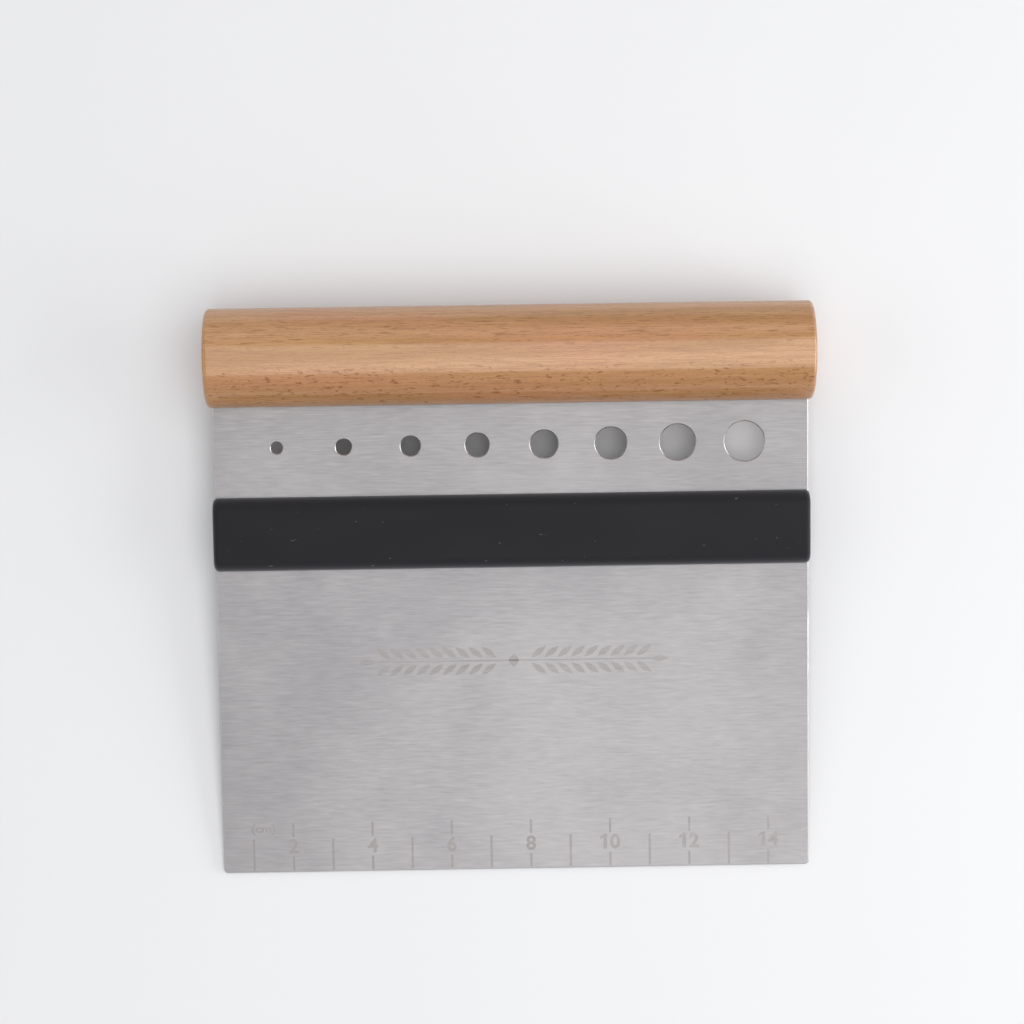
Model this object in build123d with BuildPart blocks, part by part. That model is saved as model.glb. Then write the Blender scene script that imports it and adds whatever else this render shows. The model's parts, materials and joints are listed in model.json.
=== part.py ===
from build123d import *
from math import asin, atan2, cos, hypot, sin
import os

# A bench scraper: a stainless blade glued into a slotted beech dowel, with a silicone finger grip
# moulded round the blade and a row of graduated herb-stripper holes between the grip and the handle.
#
# Frame, in millimetres: the tool lies on its back, as it rests on a worktop at Z = 0. +X runs along
# the scraping edge, +Y from the scraping edge towards the handle, and the front of the blade faces up.
# The origin is the middle of the tool's footprint.

# Driving dimensions: blade
BLADE_WIDTH = 148.0
BLADE_THICKNESS = 1.2
BLADE_SHOWING = 118.0  # from the scraping edge up to the handle
BLADE_CORNER_RADIUS = 1.0
EDGE_CHAMFER = 0.3  # breaks both long corners of the scraping edge

# Driving dimensions: herb-stripper holes, the smallest at -X
HOLE_DIAMETERS = [3.0, 4.0, 5.0, 6.0, 7.0, 8.0, 9.0, 10.0]
HOLE_PITCH = 16.6
HOLE_HEIGHT = 107.8  # from the scraping edge
HOLE_RIM_CHAMFER = 0.2

# Driving dimensions: handle
HANDLE_DIAMETER = 24.5
HANDLE_LENGTH = 150.0  # stands 1 mm past each side of the blade
HANDLE_END_FILLET = 1.1
SLOT_DEPTH = 15.0  # from the surface of the handle to the floor of the slot

# Driving dimensions: adhesive round the tang
GLUE_LINE = 0.25  # between the tang and each wall of the slot
GLUE_OVER_TANG = 0.6
GLUE_SETBACK = 1.0  # how far the adhesive stops short of the slot's mouth and of the tang's ends
TANG_KEY_DIAMETER = 5.0
TANG_KEY_COUNT = 5
TANG_KEY_PITCH = 30.0

# Driving dimensions: finger grip
GRIP_BOTTOM = 77.0  # from the scraping edge
GRIP_HEIGHT = 18.5
GRIP_THICKNESS = 7.6
GRIP_OVERHANG = 0.3  # silicone beyond each side of the blade
GRIP_LONG_FILLET = 3.5
GRIP_END_FILLET = 1.3
GRIP_KEY_DIAMETER = 5.0
GRIP_KEY_COUNT = 7
GRIP_KEY_PITCH = 20.0

# Sizes that follow from the driving dimensions
SLOT_WIDTH = BLADE_THICKNESS + 2 * GLUE_LINE
SLOT_TOP = BLADE_SHOWING + SLOT_DEPTH
TANG_TOP = SLOT_TOP - GLUE_OVER_TANG
TANG_KEY_HEIGHT = (BLADE_SHOWING + TANG_TOP) / 2
HANDLE_RADIUS = HANDLE_DIAMETER / 2
HANDLE_AXIS_HEIGHT = BLADE_SHOWING + HANDLE_RADIUS
GRIP_MIDDLE = GRIP_BOTTOM + GRIP_HEIGHT / 2
FIRST_HOLE_X = -HOLE_PITCH * (len(HOLE_DIAMETERS) - 1) / 2

# The tool rests on the back of the handle and on the back corner of the scraping edge, so the blade
# leans by the angle between its own plane and the line that touches both.
CORNER_TO_AXIS = HANDLE_AXIS_HEIGHT - EDGE_CHAMFER
CORNER_DROP = BLADE_THICKNESS / 2
REST_ANGLE = asin(HANDLE_RADIUS / hypot(CORNER_TO_AXIS, CORNER_DROP)) - atan2(CORNER_DROP, CORNER_TO_AXIS)
EDGE_Z = HANDLE_RADIUS - HANDLE_AXIS_HEIGHT * sin(REST_ANGLE)
NEAREST_Y = -(BLADE_THICKNESS / 2 - EDGE_CHAMFER) * sin(REST_ANGLE)  # from the middle of the edge
FARTHEST_Y = HANDLE_AXIS_HEIGHT * cos(REST_ANGLE) + HANDLE_RADIUS
EDGE_MIDDLE = (0, -(NEAREST_Y + FARTHEST_Y) / 2, EDGE_Z)
UP_THE_BLADE = (0, cos(REST_ANGLE), sin(REST_ANGLE))
OUT_OF_FRONT = (0, -sin(REST_ANGLE), cos(REST_ANGLE))

# The blade's middle plane: local x is +X, local y is the height above the scraping edge
BLADE_PLANE = Plane(EDGE_MIDDLE, x_dir=(1, 0, 0), z_dir=OUT_OF_FRONT)
# The cross-section: local x is the height above the scraping edge, local y is out of the front
SECTION_PLANE = Plane(EDGE_MIDDLE, x_dir=UP_THE_BLADE, z_dir=(1, 0, 0))


def is_stripper_rim(edge):
    """Whether a circular edge is centred on the row of stripper holes."""
    return abs(BLADE_PLANE.to_local_coords(edge.arc_center).Y - HOLE_HEIGHT) < 0.1


os.makedirs("parts", exist_ok=True)

# Blade: one flat sheet from the scraping edge to the top of its hidden tang
with BuildPart() as blade:
    with BuildSketch(BLADE_PLANE):
        with Locations((0, TANG_TOP / 2)):
            RectangleRounded(BLADE_WIDTH, TANG_TOP, BLADE_CORNER_RADIUS)
        # graduated stripper holes
        for index, diameter in enumerate(HOLE_DIAMETERS):
            with Locations((FIRST_HOLE_X + index * HOLE_PITCH, HOLE_HEIGHT)):
                Circle(diameter / 2, mode=Mode.SUBTRACT)
        # holes that key the adhesive to the tang
        with Locations((0, TANG_KEY_HEIGHT)):
            with GridLocations(TANG_KEY_PITCH, 0, TANG_KEY_COUNT, 1):
                Circle(TANG_KEY_DIAMETER / 2, mode=Mode.SUBTRACT)
        # holes that key the silicone to the blade
        with Locations((0, GRIP_MIDDLE)):
            with GridLocations(GRIP_KEY_PITCH, 0, GRIP_KEY_COUNT, 1):
                Circle(GRIP_KEY_DIAMETER / 2, mode=Mode.SUBTRACT)
    extrude(amount=BLADE_THICKNESS / 2, both=True)

    blade_height = Axis(EDGE_MIDDLE, UP_THE_BLADE)
    chamfer(blade.edges().filter_by(Axis.X).group_by(blade_height)[0], EDGE_CHAMFER)
    chamfer(blade.edges().filter_by(GeomType.CIRCLE).filter_by(is_stripper_rim), HOLE_RIM_CHAMFER)
blade.part.label = "blade"

# Handle: a dowel along X with rounded ends and a saw slot that runs out at both ends
with BuildPart() as handle:
    with BuildSketch(SECTION_PLANE):
        with Locations((HANDLE_AXIS_HEIGHT, 0)):
            Circle(HANDLE_RADIUS)
    extrude(amount=HANDLE_LENGTH / 2, both=True)
    fillet(handle.edges().filter_by(GeomType.CIRCLE), HANDLE_END_FILLET)

    with BuildSketch(SECTION_PLANE):
        with Locations((BLADE_SHOWING, 0)):
            Rectangle(2 * SLOT_DEPTH, SLOT_WIDTH)
    extrude(amount=HANDLE_LENGTH / 2, both=True, mode=Mode.SUBTRACT)
handle.part.label = "handle"

# Adhesive: fills the slot round the tang and passes through the tang's key holes
with BuildPart() as slot_adhesive:
    with BuildSketch(SECTION_PLANE):
        with Locations((BLADE_SHOWING + GLUE_SETBACK, 0)):
            Rectangle(SLOT_DEPTH - GLUE_SETBACK, SLOT_WIDTH, align=(Align.MIN, Align.CENTER))
    extrude(amount=BLADE_WIDTH / 2 - GLUE_SETBACK, both=True)
    add(blade.part, mode=Mode.SUBTRACT)
slot_adhesive.part.label = "slot_adhesive"

# Finger grip: a rounded silicone bar that wraps the blade's two sides and fills its key holes
with BuildPart() as finger_grip:
    with BuildSketch(SECTION_PLANE):
        with Locations((GRIP_MIDDLE, 0)):
            RectangleRounded(GRIP_HEIGHT, GRIP_THICKNESS, GRIP_LONG_FILLET)
    extrude(amount=BLADE_WIDTH / 2 + GRIP_OVERHANG, both=True)
    fillet(finger_grip.faces().filter_by(Axis.X).edges(), GRIP_END_FILLET)
    add(blade.part, mode=Mode.SUBTRACT)
finger_grip.part.label = "finger_grip"

for piece in (blade, handle, slot_adhesive, finger_grip):
    export_step(piece.part, f"parts/{piece.part.label}.step")
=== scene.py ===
import json
import math
import bpy
from mathutils import Matrix, Vector


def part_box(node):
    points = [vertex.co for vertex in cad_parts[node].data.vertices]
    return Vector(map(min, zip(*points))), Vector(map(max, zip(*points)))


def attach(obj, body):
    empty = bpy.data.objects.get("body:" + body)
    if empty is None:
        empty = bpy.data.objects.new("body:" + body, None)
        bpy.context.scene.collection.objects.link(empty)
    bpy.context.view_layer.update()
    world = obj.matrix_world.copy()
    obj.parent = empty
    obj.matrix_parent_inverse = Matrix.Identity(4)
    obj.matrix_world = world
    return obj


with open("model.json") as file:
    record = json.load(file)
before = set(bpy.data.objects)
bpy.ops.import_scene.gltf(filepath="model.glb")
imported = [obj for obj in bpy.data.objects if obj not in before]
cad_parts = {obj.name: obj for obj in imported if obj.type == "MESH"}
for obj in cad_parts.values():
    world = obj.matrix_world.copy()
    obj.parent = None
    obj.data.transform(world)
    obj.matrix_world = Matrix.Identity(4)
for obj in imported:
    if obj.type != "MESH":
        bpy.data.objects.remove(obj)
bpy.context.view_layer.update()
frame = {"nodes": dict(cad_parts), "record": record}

# Everything is in metres, in the CAD's frame. MM turns a length in millimetres into metres.
MM = 0.001

# The blade's own directions and reference point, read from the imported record's mounts
MOUNTS = {mount["name"]: mount for mount in frame["record"]["mounts"]}
EDGE = Vector(MOUNTS["scraping_edge"]["pos_m"])  # middle of the scraping edge
UP = -Vector(MOUNTS["scraping_edge"]["axis"]).normalized()  # from the edge to the handle
FRONT = Vector(MOUNTS["stripper_hole_10mm"]["axis"]).normalized()  # out of the marked face
RIGHT = UP.cross(FRONT)
BLADE = frame["nodes"]["blade"]
HANDLE = frame["nodes"]["handle"]
GRIP = frame["nodes"]["finger_grip"]
ADHESIVE = frame["nodes"]["slot_adhesive"]
FACE = max((vertex.co - EDGE).dot(FRONT) for vertex in BLADE.data.vertices)  # half the thickness

# The handle's axis, and the two directions across it that its growth rings give
HANDLE_LOW, HANDLE_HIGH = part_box("handle")
HANDLE_AXIS = (HANDLE_LOW + HANDLE_HIGH) / 2
HANDLE_RADIUS = (HANDLE_HIGH.z - HANDLE_LOW.z) / 2
QUARTER_TURN = math.radians(52)  # from the front of the blade towards its edge
QUARTER = math.cos(QUARTER_TURN) * FRONT - math.sin(QUARTER_TURN) * UP
GROWTH = RIGHT.cross(QUARTER)
PITH_DISTANCE = 45.0 * MM  # from the handle's axis to the middle of the growth rings

# Camera: the photograph's viewing angle, as seen from the middle of the front
CAMERA_DISTANCE = 0.67
CAMERA_TILT = math.radians(6.76)  # towards the handle, from straight in front of the blade
CAMERA_SIDE = math.radians(-0.4)
CAMERA_ROLL = math.radians(0.83)
CAMERA_AIM = (0.08 * MM, 90.86 * MM)  # across and up the blade, from the middle of its edge
CAMERA_LENS = 94.46
CAMERA_SENSOR = 36.0

FLOOR_HALF = 4.0  # half the side of the square floor


def on_blade(across, up, out=0.0):
    """A point from its distance across the blade, up from the scraping edge and out of the mid-plane."""
    return EDGE + across * RIGHT + up * UP + out * FRONT


# ---------------------------------------------------------------- camera, light and floor


def add_camera():
    data = bpy.data.cameras.new("camera")
    data.lens = CAMERA_LENS
    data.sensor_width = CAMERA_SENSOR
    camera = bpy.data.objects.new("camera", data)
    bpy.context.scene.collection.objects.link(camera)
    tilted = FRONT * math.cos(CAMERA_TILT) + UP * math.sin(CAMERA_TILT)
    back = tilted * math.cos(CAMERA_SIDE) + RIGHT * math.sin(CAMERA_SIDE)
    side = UP.cross(back).normalized()
    turn = Matrix.Rotation(CAMERA_ROLL, 3, -back)
    side = turn @ side
    top = back.cross(side)
    spin = Matrix((side, top, back)).transposed()
    place = on_blade(*CAMERA_AIM) + back * CAMERA_DISTANCE
    camera.matrix_world = Matrix.Translation(place) @ spin.to_4x4()
    bpy.context.scene.camera = camera


def add_softbox(name, place, aim, size, size_y, radiance):
    """A rectangular area light whose brightness is given as the radiance of its face."""
    data = bpy.data.lights.new(name, "AREA")
    data.shape = "RECTANGLE"
    data.size = size
    data.size_y = size_y
    data.energy = radiance * math.pi * size * size_y
    light = bpy.data.objects.new(name, data)
    bpy.context.scene.collection.objects.link(light)
    light.visible_camera = False
    light.location = place
    light.rotation_euler = (Vector(aim) - Vector(place)).to_track_quat("-Z", "Y").to_euler()


def add_studio():
    add_softbox("softbox_over", (0.30, -0.205, 1.2), (0.30, -0.205, 0.0), 1.2, 1.63, 1.68)
    add_softbox("panel_back", (0.0, 1.0, 0.75), (0.0, 0.0, 0.0), 1.4, 0.6, 0.42)
    add_softbox("panel_left", (-0.9, 0.0, 0.5), (0.0, 0.0, 0.15), 0.9, 0.8, 0.8)
    add_softbox("panel_right", (0.9, -0.1, 0.27), (0.0, 0.0, 0.03), 0.9, 0.5, 4.0)
    world = bpy.data.worlds.new("studio")
    world.use_nodes = True
    background = world.node_tree.nodes["Background"]
    background.inputs["Color"].default_value = (0.96, 0.97, 1.0, 1.0)
    background.inputs["Strength"].default_value = 0.4
    bpy.context.scene.world = world
    bpy.context.scene.view_settings.view_transform = "Standard"


def add_floor():
    half = FLOOR_HALF
    mesh = bpy.data.meshes.new("floor")
    corners = [(-half, -half, 0.0), (half, -half, 0.0), (half, half, 0.0), (-half, half, 0.0)]
    mesh.from_pydata(corners, [], [(0, 1, 2, 3)])
    floor = bpy.data.objects.new("floor", mesh)
    bpy.context.scene.collection.objects.link(floor)
    mesh.materials.append(floor_material())


# ---------------------------------------------------------------- material helpers


class Nodes:
    """A new node material, with short calls for the nodes that the materials here share."""

    def __init__(self, name):
        self.material = bpy.data.materials.new(name)
        self.material.use_nodes = True
        self.tree = self.material.node_tree
        self.shader = self.tree.nodes["Principled BSDF"]

    def set(self, **values):
        """Sets the shader's own sockets, named with underscores for spaces."""
        for name, value in values.items():
            self.shader.inputs[name.replace("_", " ")].default_value = value

    def link(self, source, target, socket=None):
        """Joins an output to the shader's input, or to another node's input."""
        inputs = self.shader.inputs if socket is None else target.inputs
        self.tree.links.new(source, inputs[target if socket is None else socket])

    def add(self, kind, **settings):
        node = self.tree.nodes.new(kind)
        for name, value in settings.items():
            setattr(node, name, value)
        return node

    def place(self, scale=(1.0, 1.0, 1.0), turn=(0.0, 0.0, 0.0)):
        """Object coordinates, scaled and then turned. A big scale gives a fine pattern.

        The turn comes last, so it picks another part of the noise and doesn't slant the pattern.
        """
        coordinates = self.add("ShaderNodeTexCoord")
        mapping = self.add("ShaderNodeMapping", vector_type="POINT")
        mapping.inputs["Rotation"].default_value = turn
        mapping.inputs["Scale"].default_value = scale
        self.link(coordinates.outputs["Object"], mapping, "Vector")
        return mapping.outputs["Vector"]

    def noise(self, vector, detail=2.0, roughness=0.5, distortion=0.0):
        """Noise over coordinates that place() has scaled already."""
        node = self.add("ShaderNodeTexNoise")
        node.inputs["Scale"].default_value = 1.0
        node.inputs["Detail"].default_value = detail
        node.inputs["Roughness"].default_value = roughness
        node.inputs["Distortion"].default_value = distortion
        self.link(vector, node, "Vector")
        return node.outputs["Fac"]

    def remap(self, value, low, high, to_low=0.0, to_high=1.0):
        node = self.add("ShaderNodeMapRange", clamp=True, interpolation_type="SMOOTHSTEP")
        node.inputs["From Min"].default_value = low
        node.inputs["From Max"].default_value = high
        node.inputs["To Min"].default_value = to_low
        node.inputs["To Max"].default_value = to_high
        self.link(value, node, "Value")
        return node.outputs["Result"]

    def math(self, operation, first, second=0.0):
        node = self.add("ShaderNodeMath", operation=operation)
        for socket, value in enumerate((first, second)):
            if isinstance(value, (int, float)):
                node.inputs[socket].default_value = value
            else:
                self.tree.links.new(value, node.inputs[socket])
        return node.outputs["Value"]

    def mix(self, factor, first, second):
        """Mixes two colours, each an (r, g, b) or an output, by a number or an output."""
        node = self.add("ShaderNodeMix", data_type="RGBA")
        for socket, value in (("Factor_Float", factor), ("A_Color", first), ("B_Color", second)):
            slot = next(s for s in node.inputs if s.identifier == socket)
            if isinstance(value, tuple):
                slot.default_value = (*value, 1.0)
            elif isinstance(value, (int, float)):
                slot.default_value = value
            else:
                self.tree.links.new(value, slot)
        return next(s for s in node.outputs if s.identifier == "Result_Color")

    def bump(self, height, distance, strength):
        node = self.add("ShaderNodeBump")
        node.inputs["Distance"].default_value = distance
        node.inputs["Strength"].default_value = strength
        self.link(height, node, "Height")
        self.link(node.outputs["Normal"], "Normal")


def floor_material():
    paint = Nodes("studio_floor")
    mottle = paint.noise(paint.place((9.0, 9.0, 9.0)), detail=3.0)
    paint.link(paint.mix(mottle, (0.80, 0.80, 0.81), (0.82, 0.82, 0.825)), "Base Color")
    paint.set(Roughness=0.75)
    return paint.material


# ---------------------------------------------------------------- materials


def brushed_steel(name, light, dark):
    """Stainless sheet with fine brushing along X, a faint cloudiness, and a painted highlight on the
    smoother cut edges.
    """
    steel = Nodes(name)
    streaks = steel.noise(steel.place((130.0, 5200.0, 5200.0)), detail=3.0, roughness=0.6)
    scratches = steel.noise(steel.place((260.0, 2100.0, 2100.0)), detail=2.0)
    clouds = steel.noise(steel.place((30.0, 34.0, 34.0)), detail=4.0, roughness=0.55)
    shade = steel.noise(steel.place((7.0, 6.0, 6.0)), detail=1.0)
    tone = steel.math("ADD", steel.math("MULTIPLY", clouds, 0.41), steel.math("MULTIPLY", streaks, 0.24))
    tone = steel.math("ADD", tone, steel.math("MULTIPLY", shade, 0.35))
    sheet = steel.mix(steel.remap(tone, 0.38, 0.62), dark, light)
    # the cut edges and broken corners face away from the front and back; their lighter colour is a painted
    # highlight, and they are also smoother
    facing = steel.add("ShaderNodeVectorMath", operation="DOT_PRODUCT")
    facing.inputs[1].default_value = FRONT
    steel.link(steel.add("ShaderNodeNewGeometry").outputs["Normal"], facing, 0)
    flat = steel.remap(steel.math("ABSOLUTE", facing.outputs["Value"]), 0.80, 0.95)
    steel.link(steel.mix(flat, (0.58, 0.565, 0.565), sheet), "Base Color")
    rough = steel.math("ADD", steel.math("MULTIPLY", clouds, 0.10), steel.math("MULTIPLY", scratches, 0.14))
    rough = steel.math("ADD", rough, steel.math("MULTIPLY", flat, 0.10))
    steel.link(steel.math("ADD", rough, 0.26), "Roughness")
    steel.set(Metallic=1.0, Anisotropic=0.8)
    tangent = steel.add("ShaderNodeTangent", direction_type="RADIAL", axis="X")
    steel.link(tangent.outputs["Tangent"], "Tangent")
    steel.bump(steel.math("ADD", streaks, scratches), 0.003 * MM, 0.6)
    return steel.material


def beech(name):
    """Steamed beech under a satin lacquer: ray dashes on the flat-sawn sides, flecks on the quarter, and
    painted shade on the lower front.
    """
    wood = Nodes(name)
    bands = wood.noise(wood.place((6.0, 190.0, 190.0)), detail=3.0, roughness=0.55, distortion=0.5)
    fibres = wood.noise(wood.place((80.0, 2400.0, 2400.0)), detail=4.0, roughness=0.7)
    patches = wood.noise(wood.place((18.0, 70.0, 70.0)), detail=2.0)
    ground = wood.mix(wood.remap(bands, 0.36, 0.64), (0.462, 0.230, 0.082), (0.588, 0.315, 0.146))
    ground = wood.mix(wood.remap(patches, 0.46, 0.68, 0.0, 0.7), ground, (0.565, 0.250, 0.118))
    ground = wood.mix(wood.remap(patches, 0.26, 0.46, 0.6, 0.0), ground, (0.535, 0.300, 0.108))
    ground = wood.mix(wood.remap(fibres, 0.44, 0.62, 0.0, 0.45), ground, (0.36, 0.165, 0.070))
    # how far a point lies towards a quarter-sawn side, from its place round the handle's axis
    across = wood.add("ShaderNodeVectorMath", operation="DOT_PRODUCT")
    across.inputs[1].default_value = QUARTER / HANDLE_RADIUS
    wood.link(wood.place(), across, 0)
    offset = wood.math("SUBTRACT", across.outputs["Value"], HANDLE_AXIS.dot(QUARTER) / HANDLE_RADIUS)
    turned = wood.math("ABSOLUTE", offset)
    quarter = wood.remap(turned, 0.62, 0.86)
    dashes = wood.noise(wood.place((240.0, 2700.0, 2700.0)), detail=2.0, distortion=0.25)
    pores = wood.noise(wood.place((700.0, 4200.0, 4200.0)), detail=2.0)
    other_part = (0.0, 0.0, math.radians(24))
    flecks = wood.noise(wood.place((520.0, 1500.0, 1500.0), other_part), detail=2.0, distortion=0.7)
    dashes = wood.math("MULTIPLY", wood.remap(dashes, 0.56, 0.68), wood.remap(turned, 0.2, 0.6, 0.7, 0.3))
    flecks = wood.math("MULTIPLY", wood.remap(flecks, 0.585, 0.67), quarter)
    dark = wood.math("MAXIMUM", dashes, flecks)
    dark = wood.math("MAXIMUM", dark, wood.remap(pores, 0.54, 0.70, 0.0, 0.34))
    # painted shade: the ground is mixed towards dark brown near the quarter direction, so the handle's
    # lower front is darker, as if less light reached it; the same mask also darkens the opposite upper back
    ground = wood.mix(wood.remap(turned, 0.76, 0.96, 0.0, 0.34), ground, (0.31, 0.132, 0.038))
    side = wood.mix(wood.math("MULTIPLY", dark, 0.82), ground, (0.225, 0.084, 0.018))
    # end grain: growth rings about a pith well outside the dowel, on the faces that look along X
    rings = wood.add("ShaderNodeTexWave", wave_type="RINGS", rings_direction="X", wave_profile="SAW")
    rings.inputs["Scale"].default_value = 130.0
    rings.inputs["Distortion"].default_value = 0.9
    rings.inputs["Detail"].default_value = 2.0
    pith = wood.add("ShaderNodeVectorMath", operation="SUBTRACT")
    pith.inputs[1].default_value = HANDLE_AXIS + PITH_DISTANCE * GROWTH
    wood.link(wood.place(), pith, 0)
    wood.link(pith.outputs["Vector"], rings, "Vector")
    speckle = wood.noise(wood.place((900.0, 2300.0, 2300.0)), detail=2.0)
    end = wood.mix(rings.outputs["Fac"], (0.36, 0.165, 0.075), (0.48, 0.235, 0.11))
    end = wood.mix(wood.remap(speckle, 0.56, 0.68, 0.0, 0.5), end, (0.20, 0.085, 0.035))
    facing = wood.add("ShaderNodeSeparateXYZ")
    wood.link(wood.add("ShaderNodeNewGeometry").outputs["Normal"], facing, 0)
    is_end = wood.remap(wood.math("ABSOLUTE", facing.outputs["X"]), 0.55, 0.9)
    wood.link(wood.mix(is_end, side, end), "Base Color")
    wood.link(wood.remap(fibres, 0.3, 0.7, 0.42, 0.56), "Roughness")
    # a thin coat of a high index shines as a full one does from the front, and less at a grazing angle
    wood.set(Coat_Weight=0.5, Coat_Roughness=0.17, Coat_IOR=1.9, Specular_IOR_Level=0.25)
    # the lacquer follows a slightly wavy surface, and sinks a little over the dark grain
    waves = wood.noise(wood.place((70.0, 330.0, 330.0)), detail=2.0)
    relief = wood.math("SUBTRACT", waves, wood.math("MULTIPLY", dark, 0.25))
    relief = wood.math("ADD", relief, wood.math("MULTIPLY", fibres, 0.10))
    wood.bump(relief, 0.07 * MM, 0.6)
    return wood.material


def silicone(name):
    """Black moulded silicone with a fine matt texture and a little lint."""
    rubber = Nodes(name)
    grain = rubber.noise(rubber.place((2600.0, 2600.0, 2600.0)), detail=2.0)
    smudge = rubber.noise(rubber.place((40.0, 90.0, 90.0)), detail=3.0)
    lint = rubber.noise(rubber.place((520.0, 1250.0, 1250.0), (0.3, 0.2, 0.5)), detail=1.0)
    specks = rubber.remap(lint, 0.755, 0.81, 0.0, 0.20)
    body = rubber.mix(smudge, (0.0070, 0.0066, 0.0088), (0.0098, 0.0094, 0.0120))
    rubber.link(rubber.mix(specks, body, (0.30, 0.30, 0.30)), "Base Color")
    rubber.link(rubber.remap(smudge, 0.3, 0.7, 0.50, 0.62), "Roughness")
    rubber.set(Specular_IOR_Level=0.16)
    rubber.set(Sheen_Weight=0.33, Sheen_Roughness=0.5, Sheen_Tint=(0.95, 0.94, 1.0, 1.0))
    rubber.bump(grain, 0.012 * MM, 0.6)
    return rubber.material


def cured_epoxy(name):
    glue = Nodes(name)
    haze = glue.noise(glue.place((300.0, 300.0, 300.0)), detail=3.0)
    glue.link(glue.mix(haze, (0.52, 0.38, 0.20), (0.62, 0.50, 0.30)), "Base Color")
    glue.link(glue.remap(haze, 0.3, 0.7, 0.25, 0.4), "Roughness")
    glue.bump(haze, 0.05 * MM, 0.5)
    return glue.material


def etched_steel(name):
    """Laser-darkened steel: greyer and duller than the sheet, with the brushing still showing."""
    mark = Nodes(name)
    streaks = mark.noise(mark.place((60.0, 4200.0, 4200.0)), detail=3.0, roughness=0.6)
    worn = mark.noise(mark.place((150.0, 190.0, 190.0)), detail=2.0)
    tone = mark.math("ADD", mark.math("MULTIPLY", worn, 0.6), mark.math("MULTIPLY", streaks, 0.4))
    tone = mark.remap(tone, 0.35, 0.65)
    mark.link(mark.mix(tone, (0.302, 0.289, 0.283), (0.325, 0.312, 0.305)), "Base Color")
    mark.link(mark.remap(streaks, 0.3, 0.7, 0.42, 0.56), "Roughness")
    mark.set(Metallic=1.0)
    mark.bump(streaks, 0.006 * MM, 0.5)
    return mark.material


# ---------------------------------------------------------------- etched marks

MARK_DEPTH = 0.012 * MM  # how far a mark stands off the sheet
MARK_SINK = 0.05 * MM  # how far it reaches into the sheet, so that no gap shows

RULE_ZERO = -76.3 * MM  # where the scale's zero would lie, across from the blade's middle
RULE_STEP = 10.0 * MM
RULE_LAST = 14
RULE_START = 0.5 * MM
TICK_WIDTH = 0.58 * MM
ODD_TOP = 8.6 * MM
EVEN_LOWER_TOP = 3.95 * MM
EVEN_UPPER_BOTTOM = 9.1 * MM
EVEN_UPPER_TOP = 12.7 * MM
DIGIT_BASE = 4.8 * MM
DIGIT_HEIGHT = 3.8 * MM
ONE_LEFT = -2.55 * MM  # in a number of two digits, from its mark to the left of the 1
UNITS_MIDDLE = 1.25 * MM  # and to the middle of the other digit
UNIT_MIDDLE = -63.8 * MM
UNIT_BASE = 9.7 * MM
UNIT_HEIGHT = 2.8 * MM
UNIT_STRETCH = 1.2
LETTER_BOLD = 0.03  # how far the outline of a letter is moved outwards, as a share of the letter size


def prism(outline):
    """The corners and faces of a flat mark on the blade's front, from its outline as (across, up)."""
    count = len(outline)
    low = [on_blade(x, up, FACE - MARK_SINK) for x, up in outline]
    high = [on_blade(x, up, FACE + MARK_DEPTH) for x, up in outline]
    sides = [(i, (i + 1) % count, count + (i + 1) % count, count + i) for i in range(count)]
    return low + high, [tuple(range(count - 1, -1, -1)), tuple(range(count, 2 * count)), *sides]


def add_marks(name, outlines, material):
    """One object of flat marks, one closed prism for each outline, given anticlockwise."""
    points = []
    faces = []
    for outline in outlines:
        corners, shell = prism(outline)
        faces += [tuple(len(points) + i for i in face) for face in shell]
        points += corners
    mesh = bpy.data.meshes.new(name)
    mesh.from_pydata(points, [], faces)
    mesh.materials.append(material)
    marks = bpy.data.objects.new(name, mesh)
    bpy.context.scene.collection.objects.link(marks)
    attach(marks, "root")


def bar(left, right, bottom, top):
    return [(left, bottom), (right, bottom), (right, top), (left, top)]


def leaf(middle, length, width, angle, points=10):
    """A pointed oval, such as a grain of wheat, turned by an angle from the X direction."""
    turn = Matrix.Rotation(angle, 2)
    outline = []
    for side in (1, -1):
        for step in range(points):
            share = step / points
            along = (0.5 - share) * side * length
            out = math.sin(math.pi * share) * side * width / 2
            x, up = turn @ Vector((along, out))
            outline.append((middle[0] + x, middle[1] + up))
    return outline


def add_label(name, text, middle, base, height, material, stretch=1.0):
    """A digit or the unit, centred on middle, standing on base and as tall as height."""
    curve = bpy.data.curves.new(name, "FONT")
    curve.body = text
    curve.align_x = "CENTER"
    curve.offset = LETTER_BOLD
    curve.extrude = 0.5  # only gives the letter a front and a back, which are placed below
    source = bpy.data.objects.new(name + "_source", curve)
    bpy.context.scene.collection.objects.link(source)
    bpy.context.view_layer.update()
    mesh = bpy.data.meshes.new_from_object(source.evaluated_get(bpy.context.evaluated_depsgraph_get()))
    bpy.data.objects.remove(source)
    low = min(vertex.co.y for vertex in mesh.vertices)
    high = max(vertex.co.y for vertex in mesh.vertices)
    centre = (min(v.co.x for v in mesh.vertices) + max(v.co.x for v in mesh.vertices)) / 2
    scale = height / (high - low)
    for vertex in mesh.vertices:
        across = middle + (vertex.co.x - centre) * scale * stretch
        out = FACE + (MARK_DEPTH if vertex.co.z > 0 else -MARK_SINK)
        vertex.co = on_blade(across, base + (vertex.co.y - low) * scale, out)
    mesh.name = name
    mesh.materials.clear()
    mesh.materials.append(material)
    label = bpy.data.objects.new(name, mesh)
    bpy.context.scene.collection.objects.link(label)
    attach(label, "root")


def one(left, base, height):
    """The outline of a bold digit 1 with a flag."""
    stem = (0.22 * height, 0.46 * height)
    corners = [(stem[0], 0.0), (stem[1], 0.0), (stem[1], height), (0.27 * height, height)]
    flag = [(0.0, 0.82 * height), (0.0, 0.64 * height), (stem[0], 0.77 * height)]
    return [(left + x, base + up) for x, up in corners + flag]


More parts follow.
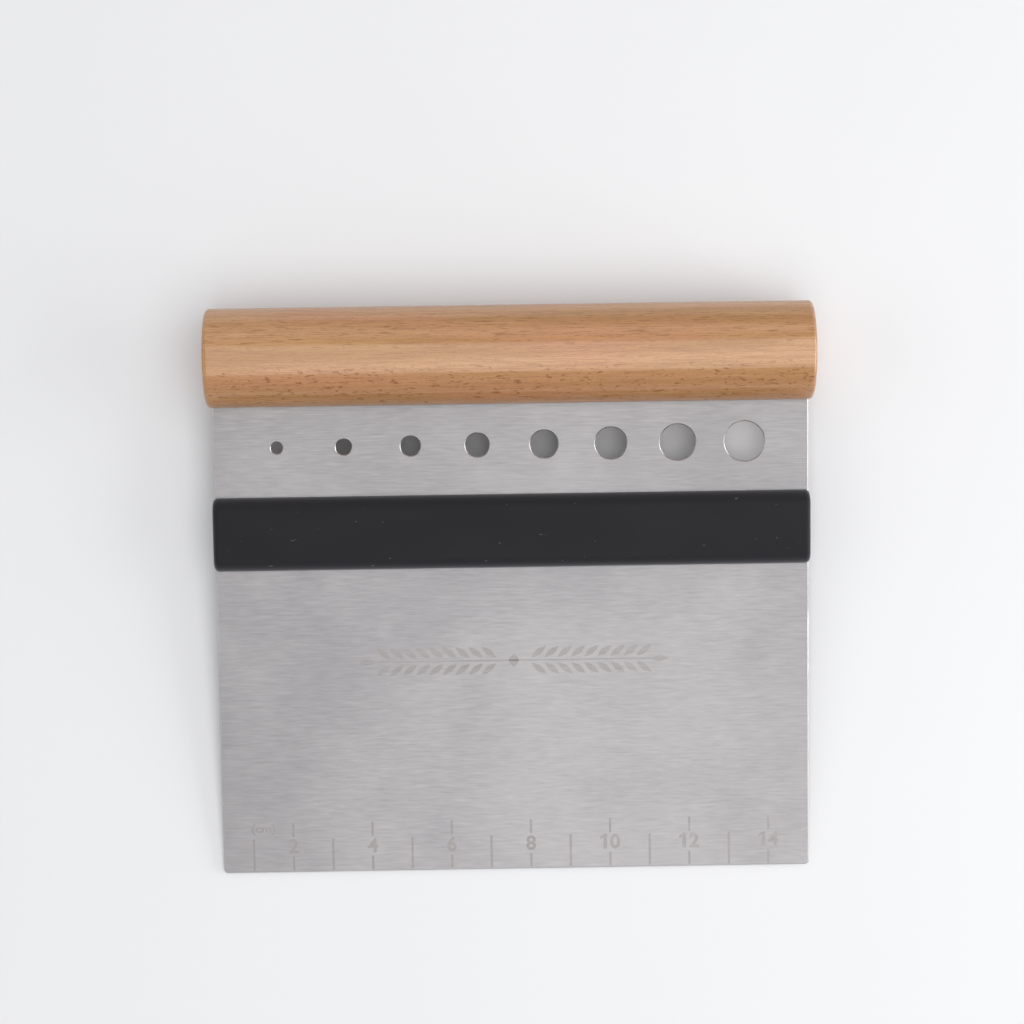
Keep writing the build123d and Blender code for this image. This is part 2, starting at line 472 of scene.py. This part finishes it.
def add_scale(material):
    """The etched centimetre scale along the scraping edge, numbered at every second mark."""
    ticks = []
    ones = []
    for mark in range(1, RULE_LAST + 1):
        left = RULE_ZERO + mark * RULE_STEP - TICK_WIDTH / 2
        right = left + TICK_WIDTH
        if mark % 2:
            ticks.append(bar(left, right, RULE_START, ODD_TOP))
            continue
        ticks.append(bar(left, right, RULE_START, EVEN_LOWER_TOP))
        ticks.append(bar(left, right, EVEN_UPPER_BOTTOM, EVEN_UPPER_TOP))
        place = RULE_ZERO + mark * RULE_STEP
        if mark >= 10:
            ones.append(one(place + ONE_LEFT, DIGIT_BASE, DIGIT_HEIGHT))
            place += UNITS_MIDDLE
        add_label(f"scale_number_{mark}", str(mark % 10), place, DIGIT_BASE, DIGIT_HEIGHT, material)
    add_marks("scale_ticks", ticks, material)
    add_marks("scale_ones", ones, material)
    add_label("scale_unit", "(cm)", UNIT_MIDDLE, UNIT_BASE, UNIT_HEIGHT, material, UNIT_STRETCH)


ORNAMENT_UP = 53.5 * MM  # up from the scraping edge to the ornament's middle
EAR_START = 4.6 * MM  # from the ornament's middle to the first pair of grains
EAR_STEP = 3.3 * MM
EAR_PAIRS = 9
GRAIN_LENGTH = 4.6 * MM
GRAIN_WIDTH = 1.5 * MM
GRAIN_ANGLE = math.radians(38)
GRAIN_OFF_STEM = 0.46  # from the stem to a grain's middle, as a share of its length
STEM_WIDTH = 0.36 * MM
LOZENGE_LENGTH = 3.4 * MM
LOZENGE_WIDTH = 2.6 * MM
LOZENGE_POINTS = 6


def add_ornament(material):
    """A plain ornament of two ears of wheat, which grow apart from a lozenge on a shared stem."""
    stem_end = EAR_START + EAR_STEP * EAR_PAIRS
    outlines = [bar(-stem_end, stem_end, ORNAMENT_UP - STEM_WIDTH / 2, ORNAMENT_UP + STEM_WIDTH / 2)]
    upright = math.radians(90)
    outlines.append(leaf((0.0, ORNAMENT_UP), LOZENGE_LENGTH, LOZENGE_WIDTH, upright, LOZENGE_POINTS))
    for side in (1, -1):
        for step in range(EAR_PAIRS):
            across = side * (EAR_START + (step + 0.5) * EAR_STEP)
            for above in (1, -1):
                middle = (across, ORNAMENT_UP + above * GRAIN_OFF_STEM * GRAIN_LENGTH)
                outlines.append(leaf(middle, GRAIN_LENGTH, GRAIN_WIDTH, GRAIN_ANGLE * above * side))
        tip = (side * (stem_end + GRAIN_LENGTH / 2), ORNAMENT_UP)
        outlines.append(leaf(tip, GRAIN_LENGTH, GRAIN_WIDTH, 0.0))
    add_marks("wheat_ornament", outlines, material)


# ---------------------------------------------------------------- the object

add_camera()
add_studio()
add_floor()

FINISHES = {
    BLADE: brushed_steel("steel", (0.442, 0.427, 0.431), (0.325, 0.315, 0.320)),
    HANDLE: beech("beech"),
    GRIP: silicone("silicone"),
    ADHESIVE: cured_epoxy("epoxy"),
}
for node, finish in FINISHES.items():
    node.material_slots[0].material = finish

etching = etched_steel("etching")
add_scale(etching)
add_ornament(etching)
